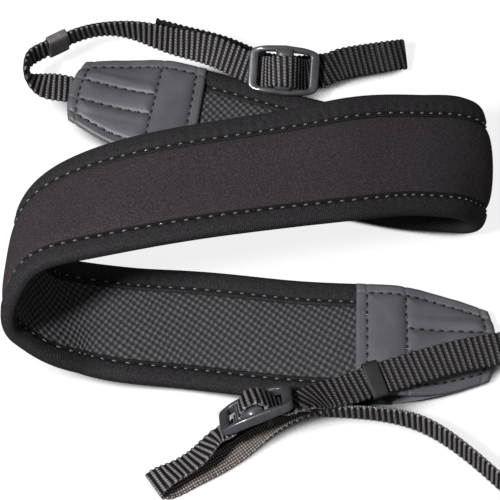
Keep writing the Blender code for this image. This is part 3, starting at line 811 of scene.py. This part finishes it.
BACK_RETURN = [
    Station(29, 65.9, 7.9, 0.0, 1, 0.55),
    Station(35, 67.9, 7.4, 0.0, 1, 0.55),
    Station(42, 69.7, 6.6, 0.0, 1, 0.55),
    Station(48.4, 71.0, 6.2, -0.1, 1, 0.52),
    Station(51.2, 72.6, 4.3, -0.1, 1, 0.40),
    Station(49, 73.0, 3.0, -0.1, 1, 0.30),
    Station(38, 70.7, 3.0, 0.0, 1, 0.30),
    Station(22, 67.6, 3.0, 0.0, 1, 0.35),
    Station(4, 67.8, 4.2, 0.0, 1, 0.50),
    Station(-8, 70.4, 8.6, 0.0, 0.75, 0.70),
    Station(-20, 72.7, 11.9, 0.0, 0.5, 1.00),
    Station(-31.5, 75.9, 13.4, 0.0, 0.3, 1.00),
]


def frame_of(part):
    """The three axes of a straight part: along the webbing, across it and out of its face."""
    along = unit(np.asarray(part.along))
    across = unit(part.across - np.dot(part.across, along) * along)
    return along, across, np.cross(along, across)


def through_buckle(buckle, sideways, lean=0.0):
    """Stations that take the webbing under one end rail, over the bar and under the other.

    Over the bar it lies sideways of the middle, and past both end rails it lies across by the lean.
    """
    along, across, out = frame_of(buckle)
    under = -BUCKLE_THICKNESS / 2 - BUCKLE_CLEARANCE - WEBBING_THICKNESS / 2 - BUCKLE_BOW
    over = BUCKLE_THICKNESS / 2 + BAR_RISE + BUCKLE_CLEARANCE + WEBBING_THICKNESS / 2
    past = (BUCKLE_LENGTH / 2 + PAST_BUCKLE, lean, under - WEBBING_DIP)
    rail = (BUCKLE_LENGTH / 2 - BUCKLE_END_RAIL, sideways / 2, under)
    bar = (BAR_FLAT / 2, sideways, over)
    waypoints = [(-s, c, n) for s, c, n in (past, rail, bar)] + [bar, rail, past]
    return [Station(*(buckle.centre + s * along + c * across + n * out), *across) for s, c, n in waypoints]


def between_sheets(narrow_end, inward, ribs):
    """Stations from inside a tab to its narrow end, ribbed face up where ribs is 1, down for -1."""
    lengths = narrow_end + inward * np.linspace(WEBBING_IN_TAB, 0.0, STATIONS_IN_TAB)
    points, across = pad.read(pad.centre, lengths), pad.read(pad.across, lengths)
    return [Station(*point, *(ribs * inward * way)) for point, way in zip(points, across)]


def length_over_bar(ribbon, buckle):
    """The length at which a webbing lies over its buckle's bar, where it is nearest the centre."""
    return float(ribbon.lengths[np.argmin(np.linalg.norm(ribbon.centre - buckle.centre, axis=1))])


def webbing_finish(name, shaded_side, lead_beads_and_light, return_beads_and_light, over_bar):
    """Dark yarn. The ribbed face is dark in its valleys and light on the beads of each rib: partly the
    yarn's own colours and partly painted shade and painted highlights.

    The beads change from the lead's painted light to the return's where the webbing lies over the
    bar, as the light falls differently on the two lengths. The flat face has rows of small dots, in
    a browner grey that is partly painted light, and painted shade along one edge: the one at
    positive distances across where the side argument is 1.
    """
    yarn = Finish(name)
    phase = yarn.length + yarn.across * RIB_SLANT
    ribs = phase.wave(RIB_PITCH)
    beads = (yarn.across + phase * BEAD_SLANT).wave(BEAD_PITCH)
    fibres = yarn.noise(per_mm=2.2)
    bright = ribs.band(low=0.30, high=0.95) * beads.spread(0.3, 1.0) * fibres.spread(0.2, 1.6)
    # Painted light: the beads change from the lead's lit colour to the return's over the bar.
    return_light_blend = yarn.length.band(over_bar - TURN_BLUR, over_bar + TURN_BLUR)
    ribbed = yarn.mix(bright, VALLEY, yarn.mix(return_light_blend, lead_beads_and_light, return_beads_and_light))
    # The flat face's dots, in a colour that is partly its own and partly painted light.
    dots = yarn.length.wave(DOT_PITCH_ALONG) * yarn.across.wave(DOT_PITCH_ACROSS)
    dotted = yarn.mix(dots * fibres.spread(0.5, 1.5), BETWEEN_DOTS, DOT_COLOUR_AND_LIGHT)
    # Painted shade along one edge of the flat face, where the other layer of webbing shades it.
    dotted = yarn.mix((yarn.across * shaded_side).band(low=2.0, high=2.8), dotted, FLAT_EDGE_SHADE)
    ribbed_face = yarn.out.band(low=-0.3, high=0.1)
    woven = beads * ribs * BEAD_RELIEF + dots * DOT_RELIEF + fibres * FIBRE_RELIEF
    return yarn.done(base_color=yarn.mix(ribbed_face, dotted, ribbed),
                     roughness=0.55, specular_ior_level=0.15, normal=yarn.relief(woven, depth_mm=0.22))


def webbing_outline():
    """The webbing's section as distances across and out, each edge half a turn of an ellipse.

    It goes up round one edge, along the ribbed face, down round the other edge and back along the
    flat face.
    """
    half, thick = WEBBING_WIDTH / 2, WEBBING_THICKNESS / 2
    face = np.linspace(half - EDGE_ROUNDING, -half + EDGE_ROUNDING, FACE_COLUMNS)
    turn = np.linspace(-0.5, 0.5, EDGE_COLUMNS + 2)[1:-1] * np.pi
    edge = np.stack([half - EDGE_ROUNDING + EDGE_ROUNDING * np.cos(turn), thick * np.sin(turn)], axis=1)
    top = np.stack([face, np.full_like(face, thick)], axis=1)
    far = edge[::-1] * (-1.0, 1.0)
    bottom = np.stack([face[::-1], np.full_like(face, -thick)], axis=1)
    return np.concatenate([edge, top, far, bottom])


def add_webbing(name, ribbon, finish, node):
    """One length of webbing, with a raised cord at each rib and a slightly uneven cut end.

    The cords are a wave over the length, slanted by the distance across. Between them the ribbed
    face lies RIB_HEIGHT lower, and at them the edges stand out by EDGE_BUMP.
    """
    count = int(ribbon.length / RIB_PITCH * RIB_RINGS)
    flat = rings_of(np.linspace(0.0, ribbon.length, count), webbing_outline())
    ribs = 0.5 + 0.5 * np.cos(2.0 * np.pi * (flat[..., 0] + RIB_SLANT * flat[..., 1]) / RIB_PITCH)
    ribbed_face = smooth(flat[..., 2] / WEBBING_THICKNESS + 0.5)
    flat[..., 2] += ribbed_face * RIB_HEIGHT * (ribs ** RIB_FULLNESS - 1.0)
    flat[..., 1] *= 1.0 + EDGE_BUMP * ribs / (WEBBING_WIDTH / 2)
    ragged = sum(wave.depth * np.sin(flat[..., 1] * wave.turn + wave.start) for wave in CUT_WAVES)
    flat[..., 0] += ragged * smooth((flat[..., 0] - ribbon.length + CUT_REACH) / CUT_REACH)
    add_band(name, ribbon, flat, finish, "webbing", node)


front_start = between_sheets(front_end, inward=1.0, ribs=-1.0)
back_start = between_sheets(back_end, inward=-1.0, ribs=1.0)
front_over_bar = through_buckle(FRONT_BUCKLE, SIDEWAYS_AT_BAR)
back_over_bar = through_buckle(BACK_BUCKLE, -SIDEWAYS_AT_BAR, BACK_LEAN)
front_webbing = Ribbon(front_start + FRONT_LEAD + front_over_bar + FRONT_RETURN)
back_webbing = Ribbon(back_start + BACK_LEAD + back_over_bar + BACK_RETURN)
# The bead colours hold painted light: the front's return is lighter than its lead, and the back's return
# darker, as the light falls on each length.
front_look = webbing_finish(
    "webbing_front", shaded_side=-1.0, lead_beads_and_light=(0.125, 0.116, 0.122), return_beads_and_light=(0.320, 0.296, 0.312),
    over_bar=length_over_bar(front_webbing, FRONT_BUCKLE))
back_look = webbing_finish(
    "webbing_back", shaded_side=1.0, lead_beads_and_light=(0.260, 0.240, 0.253), return_beads_and_light=(0.085, 0.079, 0.083),
    over_bar=length_over_bar(back_webbing, BACK_BUCKLE))
add_webbing("ribbed_webbing_front", front_webbing, front_look, "webbing_front")
add_webbing("ribbed_webbing_back", back_webbing, back_look, "webbing_back")

# ---------------------------------------------------------------------------------- keepers
# A keeper is a short sleeve of matt black plastic that slides on the webbing, made to hold its free
# end. The back one is painted a lighter grey, which stands in for the light that falls on it.

KEEPER_INSIDE = (10.3, 2.0)
KEEPER_WALL = 0.7
KEEPER_AROUND = 72
KEEPER_SECTION = 24
TONE_SPAN = 1.5
ROUGHNESS_SPAN = 0.15

# A keeper's middle along its webbing, and its own length.
Keeper = namedtuple("Keeper", "at length")
FRONT_KEEPER = Keeper(at=84.2, length=4.8)
BACK_KEEPER = Keeper(at=51.5, length=7.0)


def moulded_finish(name, colour, roughness, gloss):
    """Moulded plastic with a faint texture, a slightly uneven tone, and a skin as clear as its gloss."""
    plastic = Finish(name)
    grain = plastic.noise(per_mm=2.5)
    tone = plastic.noise(per_mm=0.25)
    light = [TONE_SPAN * channel for channel in colour]
    return plastic.done(base_color=plastic.mix(tone.band(low=0.3, high=0.75), colour, light),
                        roughness=tone.spread(roughness, roughness + ROUGHNESS_SPAN),
                        coat_weight=gloss, coat_roughness=0.12,
                        normal=plastic.relief(grain, depth_mm=0.03))


def rounded_loop(half_width, half_height, count, power=5.0):
    """A rectangle with round corners, the rounder the lower the power.

    At its points x and y over their halves, each raised to the power, add up to one.
    """
    angle = np.linspace(0.0, 2.0 * np.pi, count, endpoint=False)
    cos, sin = np.cos(angle), np.sin(angle)
    return np.stack([half_width * np.sign(cos) * np.abs(cos) ** (2.0 / power),
                     half_height * np.sign(sin) * np.abs(sin) ** (2.0 / power)], axis=-1)


def set_on(part, local):
    """Local points (along, across, out) of a straight part, carried to its place."""
    along, across, out = frame_of(part)
    return part.centre + local @ np.stack([along, across, out])


def add_keeper(name, ribbon, keeper, finish):
    """A sleeve: a rounded wall section carried round the webbing's outline."""
    wall = rounded_loop(keeper.length / 2, KEEPER_WALL / 2, KEEPER_SECTION)
    inside = rounded_loop(*(np.array(KEEPER_INSIDE) / 2), KEEPER_AROUND)
    outside = rounded_loop(*(np.array(KEEPER_INSIDE) / 2 + KEEPER_WALL), KEEPER_AROUND)
    depth = (wall[:, 1] / KEEPER_WALL + 0.5)[None, :, None]
    local = np.empty((KEEPER_AROUND, KEEPER_SECTION, 3))
    local[..., 0] = wall[:, 0]
    local[..., 1:] = inside[:, None] * (1.0 - depth) + outside[:, None] * depth
    tables = (ribbon.centre, ribbon.along, ribbon.across)
    place = Part(*(ribbon.read(table, keeper.at) for table in tables))
    faces = tube_faces(KEEPER_AROUND, KEEPER_SECTION, closed=True)
    add_piece(f"sleeve_{name}", set_on(place, local), faces, local, finish, "keeper", f"keeper_{name}")


black_keeper = moulded_finish("keeper_front", colour=(0.007, 0.006, 0.007), roughness=0.50, gloss=0.0)
# Painted light: the back keeper's lighter grey stands in for the light on its face.
painted_light_keeper = moulded_finish("keeper_back", colour=(0.095, 0.086, 0.091), roughness=0.42, gloss=0.0)
add_keeper("front", front_webbing, FRONT_KEEPER, black_keeper)
add_keeper("back", back_webbing, BACK_KEEPER, painted_light_keeper)

# ---------------------------------------------------------------------------------- buckles
# A three-bar slide in satin grey plastic. Its frame is one moulding with rounded rails, bowed
# along the webbing so that the bar stands high, and its side rails are deepest at their middle.

BUCKLE_WIDTH = 13.4
BUCKLE_SIDE_RAIL = 1.5
BUCKLE_BAR = 5.8
OUTER_BULGE = 1.5
INNER_BULGE = 0.9
SIDE_RAIL_ARCH = 0.8
ARCH_EASE = 2.0
FRAME_AROUND = 160
RAIL_SECTION = 20
BAR_ROWS = 9

# The powers of the rounded outlines. A higher one has sharper corners.
OUTER_CORNERS = 9.0
WINDOW_CORNERS = 14.0
RAIL_CORNERS = 4.0
BAR_CORNERS = 3.0


def buckle_frame():
    """Local points of the frame: a rounded rail between the windows' outline and the outer one.

    Both outlines bulge sideways, and the side rails' upper faces arch up, by 1 minus the square of
    the distance along as a part of the buckle's half length.
    """
    end, side = BUCKLE_LENGTH / 2, BUCKLE_WIDTH / 2
    window = end - BUCKLE_END_RAIL
    outer = rounded_loop(end, side, FRAME_AROUND, OUTER_CORNERS)
    inner = rounded_loop(window, side - BUCKLE_SIDE_RAIL, FRAME_AROUND, WINDOW_CORNERS)
    for outline, bulge in ((outer, OUTER_BULGE), (inner, INNER_BULGE)):
        outline[:, 1] += np.sign(outline[:, 1]) * bulge * (1.0 - (outline[:, 0] / end) ** 2)
    rail = rounded_loop(0.5, 0.5, RAIL_SECTION, RAIL_CORNERS)
    local = np.empty((FRAME_AROUND, RAIL_SECTION, 3))
    local[..., :2] = inner[:, None] + (outer - inner)[:, None] * (rail[:, :1] + 0.5)
    on_side = smooth((window - np.abs(inner[:, :1])) / ARCH_EASE)
    arch = SIDE_RAIL_ARCH * (1.0 - (local[..., 0] / end) ** 2) * on_side
    local[..., 2] = BUCKLE_THICKNESS * rail[:, 1] + arch * (rail[:, 1] + 0.5)
    return local


def buckle_bar():
    """Local points of the middle bar, a rounded rail from side to side."""
    reach = (BUCKLE_WIDTH - BUCKLE_SIDE_RAIL) / 2 + INNER_BULGE
    bar = rounded_loop(BUCKLE_BAR / 2, (BUCKLE_THICKNESS + BAR_RISE) / 2, RAIL_SECTION, BAR_CORNERS)
    local = np.empty((BAR_ROWS, RAIL_SECTION, 3))
    local[..., 0], local[..., 2] = bar[:, 0], bar[:, 1] + BAR_RISE / 2
    local[..., 1] = np.linspace(reach, -reach, BAR_ROWS)[:, None]
    return local


def add_buckle(name, buckle, finish):
    """The frame and its bar in one piece, bowed down towards its ends by the square of the length."""
    frame, bar = buckle_frame(), buckle_bar()
    faces = tube_faces(*frame.shape[:2], closed=True)
    first = frame.shape[0] * frame.shape[1]
    faces += [[first + corner for corner in face] for face in tube_faces(*bar.shape[:2])]
    local = np.concatenate([frame.reshape(-1, 3), bar.reshape(-1, 3)])
    local[:, 2] -= BUCKLE_BOW * (local[:, 0] / (BUCKLE_LENGTH / 2)) ** 2
    add_piece(f"slide_{name}", set_on(buckle, local), faces, local, finish, "buckle", f"buckle_{name}")


buckle_look = moulded_finish("buckle", colour=(0.036, 0.036, 0.043), roughness=0.30, gloss=0.6)
add_buckle("front", FRONT_BUCKLE, buckle_look)
add_buckle("back", BACK_BUCKLE, buckle_look)

# ------------------------------------------------------------------------ table, light, camera
# The strap lies on a pale table under soft studio light, seen from 60 degrees above. The table
# glows for the camera, as one lit from below does. Its glow is darkened by painted contact shade
# where the strap shuts it in, and by a painted shadow under the front buckle. All but the camera's
# sensor and lens is in metres here.

TABLE_HALF_SIZE = 3.0
TABLE_GREY = (0.17, 0.17, 0.17)
TABLE_GLOW = 0.84
# The painted contact shade's reach and levels, then the painted shadow under the front buckle.
CONTACT_REACH = 0.020
SHUT_IN = 0.30
OPEN = 0.50
SHADE_MIDDLE = (-0.0066, -0.0520, 0.0)
SHADE_REACH = (0.0088, 0.0034, 1.0)
SHADE_LIGHT = 0.12
SHADE_EDGE = (0.5, 1.25)
ROOM_LIGHT = 0.22
KEY_PLACE = (-0.53, -0.40, 0.88)
KEY_SIZE = 0.15
KEY_POWER = 16.2
CAMERA_DISTANCE = 0.7
CAMERA_ELEVATION = np.radians(60.0)
SENSOR = 36.0
LENS = 158.76


def looking_at(place, target):
    """The rotation that points an object's own -Z from a place at a target, with +Y up."""
    x, y, z = np.subtract(target, place)
    return (np.arctan2(np.hypot(x, y), -z), 0.0, np.arctan2(-x, y))


table_mesh = bpy.data.meshes.new("table")
corners = TABLE_HALF_SIZE * np.array([(-1, -1, 0), (1, -1, 0), (1, 1, 0), (-1, 1, 0)])
table_mesh.from_pydata(corners.tolist(), [], [(0, 1, 2, 3)])
table = bpy.data.objects.new("table", table_mesh)
bpy.context.collection.objects.link(table)
pale = Finish("pale")
# Painted contact shade: the glow is darkened where the strap shuts the table in.
openness = pale.node("ShaderNodeAmbientOcclusion", {}, {"Distance": CONTACT_REACH}, "AO").band(SHUT_IN, OPEN)
place = pale.node("ShaderNodeTexCoord", {}, {}, "Object")
# A painted shadow, an ellipse of shade under the front buckle.
from_shade = pale.node("ShaderNodeVectorMath", {"operation": "SUBTRACT"}, {0: place, 1: SHADE_MIDDLE})
in_reaches = pale.node("ShaderNodeVectorMath", {"operation": "DIVIDE"}, {0: from_shade, 1: SHADE_REACH})
reaches = pale.node("ShaderNodeVectorMath", {"operation": "LENGTH"}, {0: in_reaches}, "Value")
unshaded = reaches.band(*SHADE_EDGE).spread(SHADE_LIGHT, 1.0)
seen = pale.node("ShaderNodeLightPath", {}, {}, "Is Camera Ray")
table_mesh.materials.append(pale.done(
    base_color=(*TABLE_GREY, 1.0), roughness=0.9, specular_ior_level=0.0,
    emission_color=openness * unshaded * seen, emission_strength=TABLE_GLOW))

world = bpy.data.worlds.new("studio")
world.use_nodes = True
world.node_tree.nodes["Background"].inputs["Color"].default_value = (1.0, 1.0, 1.0, 1.0)
world.node_tree.nodes["Background"].inputs["Strength"].default_value = ROOM_LIGHT
bpy.context.scene.world = world

soft_box = bpy.data.lights.new("key", "AREA")
soft_box.shape, soft_box.size, soft_box.energy = "SQUARE", KEY_SIZE, KEY_POWER
lamp = bpy.data.objects.new("key", soft_box)
lamp.location = KEY_PLACE
lamp.rotation_euler = looking_at(KEY_PLACE, (0.0, 0.0, 0.0))
bpy.context.collection.objects.link(lamp)

aim = -np.array(STRAP_MIDDLE) * MM
direction = np.array((0.0, -np.cos(CAMERA_ELEVATION), np.sin(CAMERA_ELEVATION)))
camera_data = bpy.data.cameras.new("camera")
camera_data.sensor_width, camera_data.lens = SENSOR, LENS
camera = bpy.data.objects.new("camera", camera_data)
camera.location = aim + CAMERA_DISTANCE * direction
camera.rotation_euler = looking_at(camera.location, aim)
bpy.context.collection.objects.link(camera)
bpy.context.scene.camera = camera
bpy.context.scene.view_settings.view_transform = "Standard"
